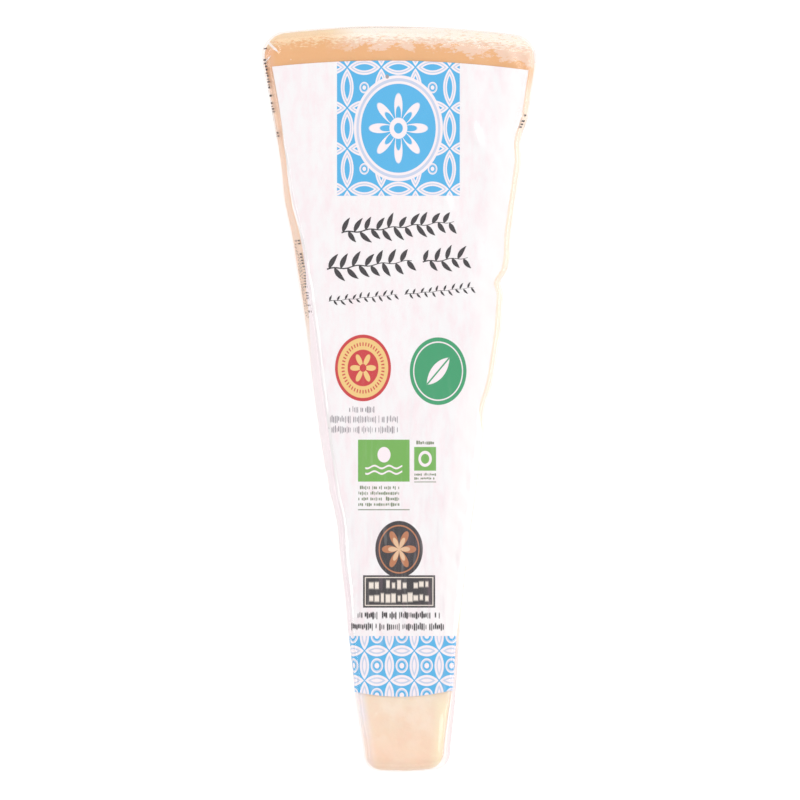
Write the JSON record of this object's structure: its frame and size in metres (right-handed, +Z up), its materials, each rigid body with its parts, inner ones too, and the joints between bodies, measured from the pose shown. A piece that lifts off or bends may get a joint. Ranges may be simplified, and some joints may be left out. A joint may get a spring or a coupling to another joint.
{
  "type": "vacuum packed parmesan wedge",
  "caption": "Long tapering wedge of hard cheese with its rind end, shrink-wrapped in clear film with a printed front panel; food to unwrap, slice or grate.",
  "frame": {"origin": "under the middle of the pack, on the surface it lies on", "axes": "+Y towards the rind end, +Z up out of the printed face, +X to the reader's right"},
  "size_m": [0.0597, 0.1634, 0.0286],
  "materials": {
    "film_over_cheese": "clear shrink film drawn tight over pale straw-coloured cheese, warmer towards the rind",
    "printed_film": "the same film printed white, with fields of sky blue, yellow, green and charcoal"
  },
  "bodies": {
    "root": {"wedge_pack": "film_over_cheese", "printed_panel": "printed_film"}
  },
  "joints": []
}
